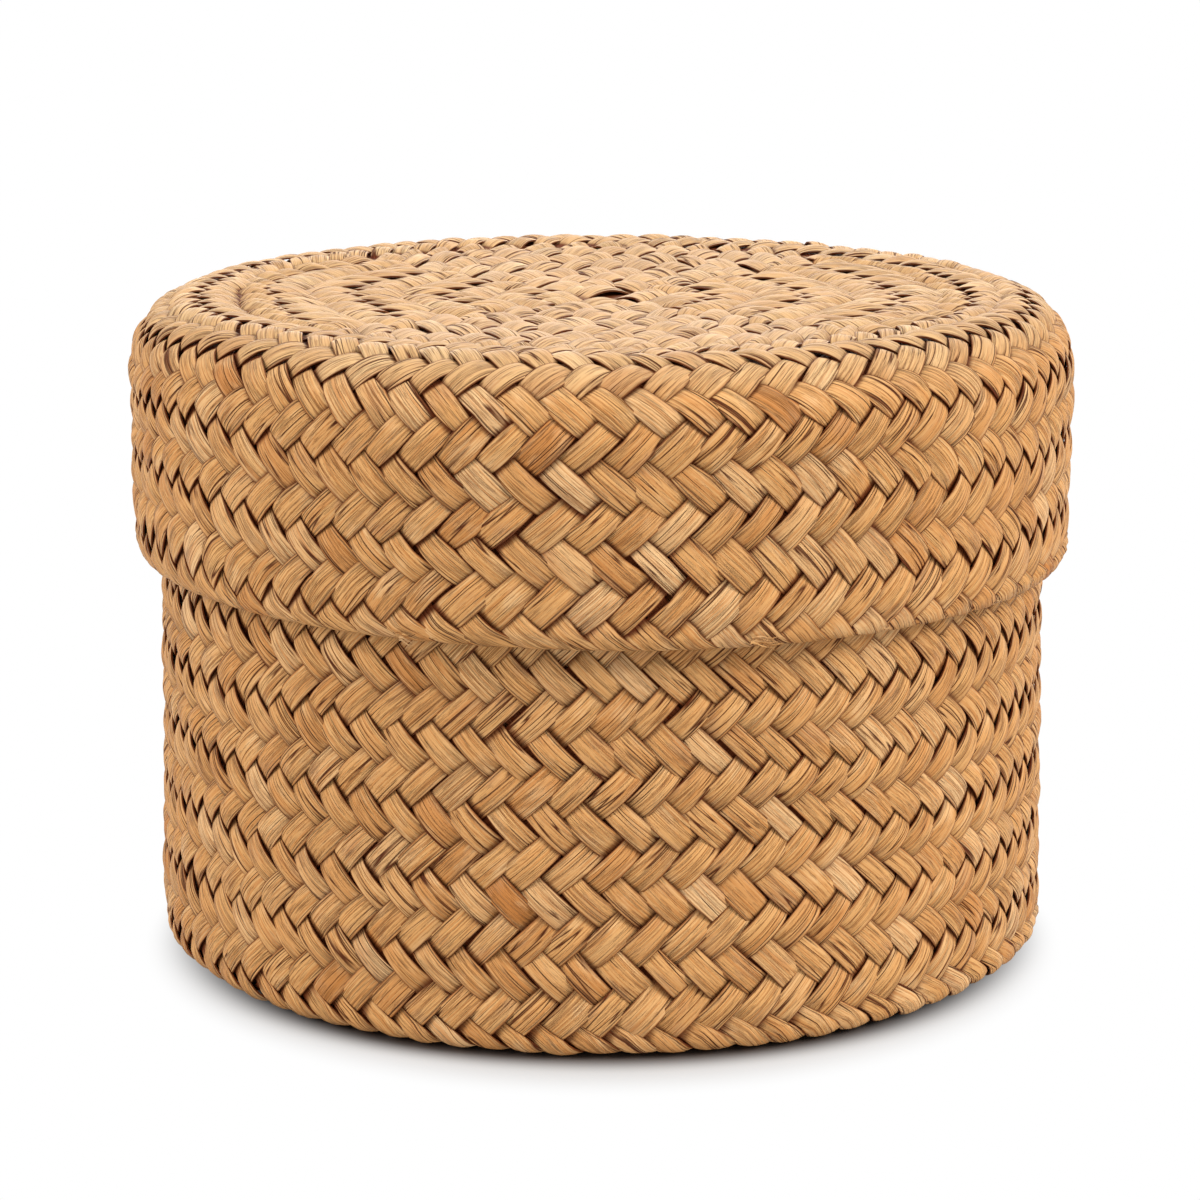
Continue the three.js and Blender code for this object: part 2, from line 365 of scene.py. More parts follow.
@dataclass
class Profile:
    """The half section that a layer of strips follows, by length from the middle of the end.

    Attributes:
        flat_radius: Radius of the flat end.
        turn_radius: Outside radius of the turn into the wall.
        end_height: Height of the flat end's outside.
        rim_height: Height of the rim.
        wall_radius: Wall radius where the turn ends.
        rim_radius: Wall radius at the rim.
        dish: How far the middle of the end is sunk.
        facing: Which way the end looks.
        fold_radius: Radius of the fold round the rim; nothing is folded where it is 0.
        tucked: Length of strip past the fold.
    """

    flat_radius: float
    turn_radius: float
    end_height: float
    rim_height: float
    wall_radius: float
    rim_radius: float
    dish: float
    facing: Facing
    fold_radius: float
    tucked: float

    def __post_init__(self) -> None:
        """Works out where the stretches of the section begin and end."""
        up = self.facing.value
        self.turn_height = self.end_height - up * self.turn_radius
        self.turn_start = self.flat_radius
        self.wall_start = self.turn_start + 0.5 * math.pi * self.turn_radius
        straight = abs(self.turn_height - self.rim_height) - self.fold_radius
        self.lean = math.atan2(self.wall_radius - self.rim_radius, straight)
        self.fold_start = self.wall_start + straight / math.cos(self.lean)
        self.fold_end = self.fold_start + math.pi * self.fold_radius
        self.length = self.fold_end + self.tucked

    def at(self, length: Array) -> tuple[Array, Array, Array, Array]:
        """Places on the section.

        Args:
            length: Distances from the middle of the end.

        Returns:
            Radius and height, and the outward normal's share in each.
        """
        up = self.facing.value
        on_turn = np.clip((length - self.turn_start) / self.turn_radius, 0.0, 0.5 * math.pi)
        on_wall = np.clip(length - self.wall_start, 0.0, self.fold_start - self.wall_start)
        turned = np.clip((length - self.fold_start) / max(self.fold_radius, 1e-9), 0.0, math.pi)
        past = np.clip(length - self.fold_end, 0.0, None)
        sunk = self.dish * (1.0 - np.clip(length / self.turn_start, 0.0, 1.0) ** 2)
        fold_shift = self.fold_radius * (1.0 - np.cos(turned))
        fold_drop = self.fold_radius * np.sin(turned)
        radius = np.minimum(length, self.flat_radius) + self.turn_radius * np.sin(on_turn)
        radius = radius - on_wall * math.sin(self.lean) - fold_shift
        drop = self.turn_radius * (1.0 - np.cos(on_turn)) + on_wall * math.cos(self.lean)
        height = self.end_height - up * (drop + sunk + fold_drop - past)
        bend = on_turn + turned
        tilt = np.where(length > self.wall_start, self.lean, 0.0)
        return radius, height, np.sin(bend + tilt), up * np.cos(bend + tilt)

    def fold_share(self, length: Array) -> Array:
        """How far places on the section belong to the fold round the rim, from 0 to 1."""
        return np.clip((length - self.fold_start + self.fold_radius) / self.fold_radius, 0.0, 1.0)


@dataclass(frozen=True)
class Run:
    """A stretch of one strip that is laid in one go.

    Attributes:
        bundle: The strip's bundle.
        number: The strip's number, from 0 outwards from the middle.
        cells: Numbers of the strips that it crosses.
        side: The side of the start that the stretch keeps to, or None where it turns a corner.
    """

    bundle: Bundle
    number: int
    cells: range
    side: Side | None = None

    @property
    def strip(self) -> int:
        """The strip's place in its family, counted both ways from the middle."""
        return self.number if self.bundle.positive else -self.number - 1

    @property
    def rising(self) -> bool:
        """Whether the strip belongs to the rising family."""
        return self.bundle.family is Family.RISING

    @property
    def sides(self) -> tuple[Side, Side]:
        """The sides that the stretch's first and second halves lie on."""
        return (self.side or self.bundle.before, self.side or self.bundle.after)

    def turns_clockwise(self, side: Side) -> bool:
        """Whether the strip runs clockwise round the axis on a side of the start."""
        return self.rising == (side in (Side.FRONT, Side.BACK))


@dataclass
class PlaitLayer:
    """One layer of strips that cross on the bias, over two and under two.

    Attributes:
        profile: The section that the layer follows.
        half_side: Half the side of the square start, in strips.
        marks: Pairs of a row and its distance from the middle of the end.
        row_shift: Rows that the over-and-under is shifted by, to set the lean of each row.
        wave: How far a strip rises over and dips under its neighbours.
        crown: How far a strip's middle stands above its edges.
        thickness: Thickness of the leaf.
        cover: A strip's width as a share of its pitch.
        steps: Faces along a strip for each strip that it crosses.
        cuts: Faces across a strip.
        seed: Seed of the layer's irregularities.
        rows: First and last row; strips that start past the middle are laid in halves.
        shown: Rows between which a strip may lie on top, so that loose ends stay underneath.
        wander: How far rows wander, in rows.
        centre_hole: How far the four middle strips are pulled apart, in strips.
        flatness: How flat a float is along its length; 0 is a plateau and 1 a sine.
        smoothing: Distance over which a strip bends at a corner, in strips.
        tilt: How far the edge of a float that lies further back stands above its middle.
        curl: How far edges curl up or down at random.
        bulge: How much wider a float is at its middle than where it dives.
        dip: Depth of a dive as a share of the rise of a float.
        gloom: How dark the painted shade is where a strip dives, from 0 to 1.
        seam_gloom: Share of that painted shade that is left on ends outside the shown rows.
        strip_widths: Widths of the narrowest and the widest strip, as shares of the cover.
        width_drift: How far a strip's width drifts along its length, as a share.
        edge_drift: How far each of its edges drifts by itself, as a share.
        sway: How far its middle line sways, in strips.
        wrap: Rows where the strips of one lean start to bend along the rim and where they lie
            along it, or None where all strips fold over the rim.
        roll: Row of the heel that the strips of one lean are drawn along, and how far, in strips,
            or None where they go straight on.
        sag: How much lower the rim hangs on the right than on the left.
        drawn_up: How far the rows above the rim are drawn up on the left.
    """

    profile: Profile
    half_side: int
    marks: tuple[tuple[float, float], ...]
    row_shift: int
    wave: float
    crown: float
    thickness: float
    cover: float
    steps: int
    cuts: int
    seed: int
    rows: tuple[float, float]
    shown: tuple[float, float] = (0.0, 99.0)
    wander: float = 0.10
    centre_hole: float = 0.0
    flatness: float = 0.7
    smoothing: float = 0.7
    tilt: float = 0.22 * MM
    curl: float = 0.4 * MM
    bulge: float = 0.06
    dip: float = 0.42
    gloom: float = 1.0
    seam_gloom: float = 0.35
    strip_widths: tuple[float, float] = (0.91, 1.06)
    width_drift: float = 0.06
    edge_drift: float = 0.085
    sway: float = 0.06
    wrap: tuple[float, float] | None = None
    roll: tuple[float, float] | None = None
    sag: float = 0.0
    drawn_up: float = 0.0

    def __post_init__(self) -> None:
        """Draws the slow irregularities."""
        chance = np.random.default_rng(self.seed)
        self.waves = [
            (chance.integers(2, 9), chance.uniform(0.2, 0.75), chance.uniform(0, 2 * math.pi))
            for _ in range(7)
        ]

    @property
    def halved(self) -> bool:
        """Whether strips start past the middle and are laid in halves."""
        return self.rows[0] > 0.0

    def length_at(self, row: Array) -> Array:
        """Distance from the middle of the end for a place counted in rows."""
        return np.interp(row, [mark[0] for mark in self.marks], [mark[1] for mark in self.marks])

    def drift(self, row: Array, angle: Array, phase: float) -> Array:
        """Slow unevenness of hand-laid rows.

        Args:
            row: Places counted in rows.
            angle: Their angles round the axis.
            phase: A shift that gives another unevenness.

        Returns:
            The unevenness, about -1 to 1.
        """
        total = np.zeros_like(row)
        for turns, climb, start in self.waves:
            total += np.sin(turns * angle + climb * row + start + phase * turns)
        return total / math.sqrt(len(self.waves))

    def runs(self, bundle: Bundle) -> list[Run]:
        """The stretches that a bundle is laid in.

        Args:
            bundle: The bundle.

        Returns:
            Whole strips, or two halves of each strip where the layer starts past the middle.
        """
        stretches = []
        for number in range(2 * self.half_side):
            reach = int(round(2.0 * self.rows[1] - number - 0.5))
            if not self.halved:
                stretches.append(Run(bundle, number, range(-reach, reach)))
                continue
            start = int(round(2.0 * self.rows[0] - number - 0.5))
            stretches.append(Run(bundle, number, range(-reach, -start), bundle.before))
            stretches.append(Run(bundle, number, range(start, reach), bundle.after))
        return stretches

    def is_over(self, run: Run, cell: int) -> bool:
        """Whether a strip lies over the strip that it crosses.

        Args:
            run: The strip.
            cell: The number of the strip that it crosses.

        Returns:
            True where it lies on top.
        """
        first, second = (run.strip, cell) if run.rising else (cell, run.strip)
        side = run.sides[cell >= 0]
        crossed = second - first if side in (Side.FRONT, Side.BACK) else first + second + 1
        row = abs(crossed) / 2.0
        if not self.shown[0] < row < self.shown[1]:
            return False
        even = (math.ceil(row) + self.row_shift) % 2 == 0
        return run.turns_clockwise(side) == even

    def heights(self, run: Run, chance: np.random.Generator) -> tuple[Array, Array]:
        """The rise and dip of a strip along its length.

        Args:
            run: The strip.
            chance: Source of irregularity.

        Returns:
            The height of the strip's middle line, from -1 to 1, and a tone for each float.
        """
        over = [self.is_over(run, cell) for cell in run.cells]
        height = np.zeros(len(over) * self.steps + 1)
        tone = np.zeros_like(height)
        start = 0
        while start < len(over):
            end = start
            while end < len(over) and over[end] == over[start]:
                end += 1
            begin_phase = 0.5 if start == 0 else 0.0
            end_phase = 0.5 if end == len(over) else 1.0
            phase = np.linspace(begin_phase, end_phase, (end - start) * self.steps + 1)
            swell = np.clip(np.sin(math.pi * phase), 0.0, 1.0) ** self.flatness
            strength = (1.0 if over[start] else -self.dip) * chance.uniform(0.8, 1.15)
            stretch = slice(start * self.steps, end * self.steps + 1)
            height[stretch] = strength * swell
            tone[stretch] = chance.normal()
            start = end
        return height, tone

    def plan(self, run: Run, strip: Array, cell: Array) -> tuple[Array, Array]:
        """Where a crossing lies, as a place on a disc whose radius is counted in rows.

        Args:
            run: The strip.
            strip: Place across the family, in strips.
            cell: Place along the strip, in strips crossed.

        Returns:
            The place on the disc.
        """
        first, second = (strip, cell) if run.rising else (cell, strip)
        across, up = (first + second) / 2.0, (second - first) / 2.0
        places = {
            Side.RIGHT: (across, up), Side.BACK: (up, -across),
            Side.LEFT: (-across, -up), Side.FRONT: (-up, across),
        }
        before, after = run.sides
        late = cell >= 0.0
        row = np.maximum(np.where(late, places[after][0], places[before][0]), 1e-6)
        sideways = np.where(late, places[after][1], places[before][1])
        middle = np.where(late, after.value, before.value)
        side = self.half_side if self.halved else np.minimum(row, self.half_side)
        angle = middle + 0.25 * math.pi * sideways / side
        return row * np.cos(angle), row * np.sin(angle)

    def smoothed(self, line: Array) -> Array:
        """Eases the kinks of lines.

        Args:
            line: Lines that run down the columns of an array.

        Returns:
            The eased lines.
        """
        reach = int(math.ceil(2.5 * self.smoothing * self.steps))
        offsets = np.arange(-reach, reach + 1) / self.steps
        weights = np.exp(-0.5 * (offsets / self.smoothing) ** 2)
        weights /= weights.sum()
        padded = np.pad(line, ((reach, reach), (0, 0)), mode="reflect", reflect_type="odd")
        columns = [np.convolve(column, weights, "valid") for column in padded.T]
        return np.stack(columns, axis=1)

    def strip_points(self, run: Run, chance: np.random.Generator) -> dict[str, Array]:
        """Lays out one strip.

        Args:
            run: The strip.
            chance: Source of irregularity.

        Returns:
            Points of the strip's face in rows along and columns across, with their lengths,
            widths, tones and dives.
        """
        height, tone = self.heights(run, chance)
        along = np.linspace(run.cells.start, run.cells.stop, len(run.cells) * self.steps + 1)
        shares = np.linspace(-1.0, 1.0, self.cuts + 1)
        line = run.strip + 0.5

        width = self.cover * chance.uniform(*self.strip_widths)
        width = width * self.uneven(along, self.width_drift, 4.0, chance)
        width = width * (1.0 + self.bulge * (np.clip(height, 0.0, 1.0) - 0.6))
        left = 0.5 * width * self.uneven(along, self.edge_drift, 1.0, chance)
        right = 0.5 * width * self.uneven(along, self.edge_drift, 1.0, chance)
        sway = self.uneven(along, self.sway, 5.0, chance) - 1.0
        near_middle = np.exp(-((along / 2.2) ** 2)) * math.exp(-run.number / 1.1)
        sway = sway + np.sign(line) * self.centre_hole * near_middle

        spread = np.where(shares[None, :] < 0.0, left[:, None], right[:, None]) * shares[None, :]
        places = line + sway[:, None] + spread
        plan_x, plan_y = self.plan(run, places, np.repeat(along[:, None], len(shares), axis=1))
        if not self.halved:
            plan_x, plan_y = self.smoothed(plan_x), self.smoothed(plan_y)
        row, angle = np.hypot(plan_x, plan_y), np.arctan2(plan_y, plan_x)
        row, lying = self.wrapped(run, row, angle)
        angle = angle + self.rolled(run, row, along)
        ease = np.clip(row / 3.0, 0.0, 1.0)
        rows_moved = row + self.wander * ease * self.drift(row, angle, 0.0)
        turn = 0.25 * math.pi / self.half_side
        angle = angle + self.wander * ease * self.drift(row, angle, 1.7) * turn

        length = self.length_at(rows_moved) - self.drawn_up * self.left_share(row, angle)
        radius, level, normal_out, normal_up = self.profile.at(length)
        folds = self.profile.fold_radius > 0.0
        folded = self.profile.fold_share(length) if folds else np.zeros_like(length)
        raised = np.clip(height, 0.0, 1.0)[:, None]
        camber = self.crown * (1.0 - np.abs(shares[None, :]) ** 2.6) * (0.4 + 0.6 * raised)
        curl = self.uneven(along, 0.5, 1.6, chance)[:, None] - 1.0
        depth = np.sin(angle) * np.minimum(row, self.half_side)
        far = np.clip((depth[:, -1:] - depth[:, :1]) / 0.3, -1.0, 1.0)
        edges = (self.tilt * far + self.curl * curl) * raised * shares[None, :]
        lift = self.wave * height[:, None] + camber + edges
        lift = lift + folded * (0.35 * self.wave + 0.4 * camber - lift)
        lift = lift + lying * (0.75 * self.wave * (1.35 - lying) - lift)
        radius, level = radius + lift * normal_out, level + lift * normal_up
        hung = np.clip((row - self.rows[1] + 5.0) / 4.2, 0.0, 1.0)
        level = level - self.sag * hung * (0.5 + 0.5 * np.cos(angle - LOW_SIDE))
        points = np.stack([radius * np.cos(angle), radius * np.sin(angle), level], axis=-1)
        middle = points[:, self.cuts // 2]
        gone = np.concatenate([[0.0], np.cumsum(np.linalg.norm(np.diff(middle, axis=0), axis=1))])
        wide = np.linalg.norm(points - middle[:, None], axis=-1) * np.sign(shares)[None, :]
        across = np.ones(len(shares))
        # The dive mark carries painted shade where the strip lies low: lighter on ends outside the
        # shown rows, and none on folds or on ends along the rim.
        shown = (row > self.shown[0]) & (row < self.shown[1])
        at_seam = np.where(shown, 1.0, self.seam_gloom)
        return {
            "points": points, "along": gone[:, None] * across, "wide": wide,
            "dive": self.gloom * np.clip(0.30 - height, 0.0, 1.0)[:, None] * at_seam
                    * (1.0 - np.maximum(folded, lying)),
            "across": np.repeat(np.abs(shares)[None, :], len(along), axis=0),
            "tone": np.clip(chance.normal(0.52, 0.13) + 0.10 * tone, 0.0, 1.0)[:, None] * across,
        }

    def wrapped(self, run: Run, row: Array, angle: Array) -> tuple[Array, Array]:
        """Bends the ends of the strips of one lean along the rim, tapered to a point.

        Args:
            run: The strip.
            row: Rows of the strip's points.
            angle: Their angles round the axis.

        Returns:
            The bent rows, and how far along the rim each point lies, from 0 to 1.
        """
        if self.wrap is None or run.turns_clockwise(run.sides[0]):
            return row, np.zeros_like(row)
        start, end = self.wrap
        middle = row[:, self.cuts // 2][:, None]
        middle_angle = angle[:, self.cuts // 2][:, None]
        kept = 0.5 - 0.5 * np.cos(middle_angle - LOW_SIDE)
        share = np.clip((kept - 0.10) / 0.07, 0.0, 1.0)
        late = 0.8 + 0.9 * np.clip(-1.5 * np.cos(middle_angle), 0.0, 1.0)
        past = np.maximum(middle - start, 0.0) / (end - start)
        bent = start + (end - start) * (1.0 - np.exp(-past))
        lying = np.clip((middle - start) / (self.rows[1] - start), 0.0, 1.0)
        thinned = np.clip((middle - start - 0.1) / (self.rows[1] - start - 0.1), 0.0, 1.0)
        narrow = 1.0 - 0.88 * thinned ** late
        wrapped = np.minimum(middle, bent) + 0.25 * (1.0 - narrow) + (row - middle) * narrow
        return row + share * (wrapped - row), share * lying * np.ones_like(row)

    def left_share(self, row: Array, angle: Array) -> Array:
        """How far places take part in the rows' rise on the left.

        Args:
            row: Rows of the places.
            angle: Their angles round the axis.

        Returns:
            The share, from 0 to 1.
        """
        top, bottom, rim = self.rows[0] + 5.0, self.rows[1] - 1.9, self.rows[1] - 0.7
        share = np.clip((row - top) / (bottom - top), 0.0, 1.0)
        share = share * np.clip((rim - row) / (rim - bottom), 0.0, 1.0)
        return share * np.clip(-np.cos(angle), 0.0, 1.0)

    def rolled(self, run: Run, row: Array, along: Array) -> Array:
        """How far the strips of one lean are drawn along the heel.

        Args:
            run: The strip.
            row: Rows of the strip's points.
            along: Places along the strip, in strips crossed.

        Returns:
            The turn of each point round the axis, in radians.
        """
        if self.roll is None:
            return np.zeros_like(row)
        heel, reach = self.roll
        first, second = (run.turns_clockwise(side) for side in run.sides)
        reach = reach * np.where(along < 0.0, first, second)[:, None]
        drawn = np.clip(heel + 0.95 - row, 0.0, 1.0) * np.clip((row - heel + 1.6) / 1.5, 0.0, 1.0)
        return reach * 0.25 * math.pi / self.half_side * drawn * drawn * (3.0 - 2.0 * drawn)

    def uneven(self, along: Array, amount: float, period: float,
               chance: np.random.Generator) -> Array:
        """A smooth random factor round 1 along a strip.

        Args:
            along: Places along the strip, in strips crossed.
            amount: The usual departure from 1.
            period: Distance between independent values.
            chance: Source of irregularity.

        Returns:
            The factor at each place.
        """
        count = int((along[-1] - along[0]) / period) + 3
        knots = along[0] + period * np.arange(count)
        return 1.0 + amount * np.interp(along, knots, chance.normal(0.0, 1.0, count))

    def build(self, name: str, bundle: Bundle) -> bpy.types.Object:
        """Makes the strips of one bundle as one piece.

        Args:
            name: The piece's name.
            bundle: Which strips to lay.

        Returns:
            The piece, with its leaf thickness.
        """
        chance = np.random.default_rng((self.seed, BUNDLES.index(bundle)))
        strips = [self.lay_strip(name, run, chance) for run in self.runs(bundle)]
        piece = joined(name, strips)
        thicken(piece, self.thickness)
        return piece

    def lay_strip(self, name: str, run: Run, chance: np.random.Generator) -> bpy.types.Object:
        """Cuts one flat strip and lays it into the plait.

        Args:
            name: The strip's name.
            run: The strip.
            chance: Source of irregularity.

        Returns:
            The strip's face.
        """
        laid = self.strip_points(run, chance)
        outward = run.rising == (self.profile.facing is Facing.DOWN)
        return laid_strip(name, laid, outward, chance.uniform(0.0, 50.0, 2))


def laid_strip(name: str, laid: dict[str, Array], outward: bool, start: Array) -> bpy.types.Object:
    """Cuts a flat strip of leaf and lays it along points.

    Args:
        name: The strip's name.
        laid: Points in rows along and columns across, with lengths, widths, dives and tones.
        outward: Whether the columns run so that the face looks outwards.
        start: Where the strip lies on the leaf that it is cut from.

    Returns:
        The strip's face.
    """
    rows, columns = laid["points"].shape[:2]
    bpy.ops.mesh.primitive_grid_add(x_subdivisions=rows - 1, y_subdivisions=columns - 1, size=1.0)
    strip = bpy.context.active_object
    strip.name = name
    order = slice(None) if outward else slice(None, None, -1)
    values = {
        key: np.ascontiguousarray(value[:, order].swapaxes(0, 1)) for key, value in laid.items()}
    mesh = strip.data
    mesh.vertices.foreach_set("co", values["points"].reshape(-1).astype(np.float32))
    for key in ("dive", "across", "tone"):
        attribute = mesh.attributes.new(key, "FLOAT", "POINT")
        attribute.data.foreach_set("value", values[key].reshape(-1).astype(np.float32))
    corner_vertex = np.zeros(len(mesh.loops), dtype=np.int32)
    mesh.loops.foreach_get("vertex_index", corner_vertex)
    flat = np.stack([values["along"].reshape(-1), values["wide"].reshape(-1)], axis=1) + start
    layer = mesh.uv_layers.active or mesh.uv_layers.new()
    layer.name = "strip"
    layer.data.foreach_set("uv", flat[corner_vertex].reshape(-1).astype(np.float32))
    mesh.update()
    return strip


@dataclass(frozen=True)
class Fray:
    """Loose fibres where the end of a strip has torn at the rim of the lid.

    Attributes:
        name: Where it lies, for its piece's name.
        angle: Where its fibres start round the axis, in degrees.
        lift: How far above the rim's lower edge they start.
        length: Length of the longest fibre.
        count: Number of fibres.
        seed: Seed of their irregularities.
        width: Width of a fibre.
        thickness: Thickness of a fibre.
    """

    name: str
    angle: float
    lift: float
    length: float
    count: int
    seed: int
    width: float = 0.5 * MM
    thickness: float = 0.16 * MM

    def build(self, radius: float, edge: float) -> bpy.types.Object:
        """Makes the fibres as one piece.

        Args:
            radius: Outside radius of the rim.
            edge: Height of the rim's lower edge.

        Returns:
            The piece.
        """
        chance = np.random.default_rng(self.seed)
        fibres = [
            laid_strip(self.name, self.fibre_points(radius, edge, chance), True,
                       chance.uniform(0.0, 50.0, 2))
            for _ in range(self.count)
        ]
        piece = joined(self.name, fibres)
        thicken(piece, self.thickness)
        return piece

    def fibre_points(self, radius: float, edge: float,
                     chance: np.random.Generator) -> dict[str, Array]:
        """Lays out one fibre that leaves the rim to the right and droops.

        Args:
            radius: Outside radius of the rim.
            edge: Height of the rim's lower edge.
            chance: Source of irregularity.

        Returns:
            Points in rows along and columns across, with lengths, widths, dives and tones.
        """
        share = np.linspace(0.0, 1.0, 9)[:, None]
        sides = np.array([[1.0, 0.0, -1.0]])
        length = self.length * chance.uniform(0.5, 1.0)
        level = edge + self.lift + chance.uniform(-1.0, 1.0) * MM
        droop = chance.uniform(-0.5, 0.25) * share ** 2 + 0.05 * np.sin(7.0 * share)
        level = level + length * droop
        level = level + 0.5 * self.width * sides * (1.0 - 0.8 * share)
        even = np.ones_like(level)
        out = (radius + length * chance.uniform(0.03, 0.22) * share) * even
        start = chance.uniform(-1.5, 0.5) * MM
        angle = math.radians(self.angle) + (start + length * share) / radius
        points = np.stack([out * np.cos(angle), out * np.sin(angle), level], axis=-1)
        return {
            "points": points, "along": length * share * even,
            "wide": 0.5 * self.width * sides * even,
            "dive": 0.0 * even, "across": 0.5 * even, "tone": chance.uniform(0.3, 1.0) * even,
        }


def select_only(objects: list[bpy.types.Object]) -> None:
    """Selects some objects and makes the first one active.

    Args:
        objects: What is selected.
    """
    bpy.ops.object.select_all(action="DESELECT")
    for item in objects:
        item.select_set(True)
    bpy.context.view_layer.objects.active = objects[0]


def joined(name: str, parts: list[bpy.types.Object]) -> bpy.types.Object:
    """Joins parts into one piece.

    Args:
        name: The piece's name.
        parts: What it is joined from.

    Returns:
        The piece.
    """
    select_only(parts)
    bpy.ops.object.join()
    piece = bpy.context.active_object
    piece.name = name
    piece.data.name = name
    return piece


def thicken(piece: bpy.types.Object, thickness: float) -> None:
    """Gives faces their leaf thickness, inwards, and smooth shading.

    Args:
        piece: The piece.
        thickness: Thickness of the leaf.
    """
    select_only([piece])
    solid = piece.modifiers.new("leaf", "SOLIDIFY")
    solid.thickness = thickness
    solid.offset = -1.0
    bpy.ops.object.modifier_apply(modifier=solid.name)
    bpy.ops.object.shade_smooth_by_angle(angle=SHARP_EDGE)


@dataclass
class Layer:
    """A layer of the box or the lid, with what it stands for.

    Attributes:
        name: The layer's name, which its pieces' names start with.
        plait: The strips.
        nodes: CAD nodes that the layer stands for.
        material: Its finish.
        slot: Its material slot in the record.
    """

    name: str
    plait: PlaitLayer
    nodes: tuple[str, ...]
    material: bpy.types.Material
    # slot: Name of its material slot; not used.
    slot: str

    def build(self, body: str) -> None:
        """Lays the layer's strips, a bundle to a piece.

        Args:
            body: The body that the pieces ride on.
        """
        for bundle in BUNDLES:
            piece = self.plait.build(f"{self.name}_{bundle.name}", bundle)
            dress(piece, self.material, body, self.nodes)


def dress(piece: bpy.types.Object, material: bpy.types.Material, body: str,
          nodes: tuple[str, ...]) -> None:
    """Gives a piece its finish and ties it to the frame.

    Args:
        piece: The piece.
        material: Its finish.
        body: The body that it rides on.
        nodes: CAD nodes that it stands for.
    """
    piece.data.materials.clear()
    piece.data.materials.append(material)
    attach(piece, body)
    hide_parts(*nodes)
    logger.info("%s: %d faces on %s", piece.name, len(piece.data.polygons), body)


FRAYS = (
    Fray("lid_fray_right", -73.0, 1.3 * MM, 6.5 * MM, 12, 31),
    Fray("lid_fray_left", -112.5, 1.4 * MM, 4.0 * MM, 6, 32),
)


@dataclass(frozen=True)
class PlaitSizes:
    """Sizes of the plait that the frame's boxes don't give, in metres, rows and strips.

    Attributes:
        half_side: Half the side of the square start, in strips.
        top_half_side: The same for the lid's top.
        base_square: Distance of the square's last row from the middle.
        base_row: Height of a row outside the square.
        heel_row: Row of the heel.
        heel_roll: How far strips of one lean are drawn along the heel, in strips.
        top_edge: Distance of the last row of the lid's top from the middle.
        skirt_edge: Distance of the skirt's first shown row from the middle.
        shoulder_row: Height of a row on the shoulder.
        skirt_row: Height of a row on the skirt.
        heel_radius: Radius of the turn from the base to the wall.
        shoulder_radius: Radius of the turn from the lid's top to its skirt.
        top_dish: How far the middle of the lid's top is sunk.
        leaf: Thickness of the leaf.
        wave: How far a strip rises over its neighbours.
        top_wave: The same on the lid's top.
        top_crown: How far a strip's middle stands above its edges on the lid's top.
        top_sink: How far the lid's top lies below its seam.
        crown: How far a strip's middle stands above its edges elsewhere.
        base_lift: How far the base's floats stay above the table.
        fold_radius: Radius of the fold round a rim.
        tucked: Length of strip past the fold.
        lining_depth: Distance of a lining from the outer layer.
        lining_gap: How far a lining ends from the rim.
        rim_sag: How much lower the lid's rim hangs on one side.
        left_rise: How far the skirt's rows are drawn up on the left.
        rim_bend: Rows above the rim where strips start to bend along it and where they lie so.
        fray_inset: How far inside the rim's face torn fibres start.
    """

    half_side: int = 10
    top_half_side: int = 8
    base_square: float = 101.6 * MM
    base_row: float = 9.2 * MM
    heel_row: float = 11.75
    heel_roll: float = 0.4
    top_edge: float = 98.6 * MM
    skirt_edge: float = 95.4 * MM
    shoulder_row: float = 7.9 * MM
    skirt_row: float = 9.35 * MM
    heel_radius: float = 4.6 * MM
    shoulder_radius: float = 18.75 * MM
    top_dish: float = 1.8 * MM
    leaf: float = 0.42 * MM
    wave: float = 1.35 * MM
    top_wave: float = 1.5 * MM
    top_crown: float = 0.8 * MM
    top_sink: float = 0.5 * MM
    crown: float = 0.5 * MM
    base_lift: float = 0.4 * MM
    fold_radius: float = 1.5 * MM
    tucked: float = 4.0 * MM
    lining_depth: float = 1.45 * MM
    lining_gap: float = 3.0 * MM
    rim_sag: float = 2.2 * MM
    left_rise: float = 4.4 * MM
    rim_bend: tuple[float, float] = (1.15, 0.83)
    fray_inset: float = 0.3 * MM


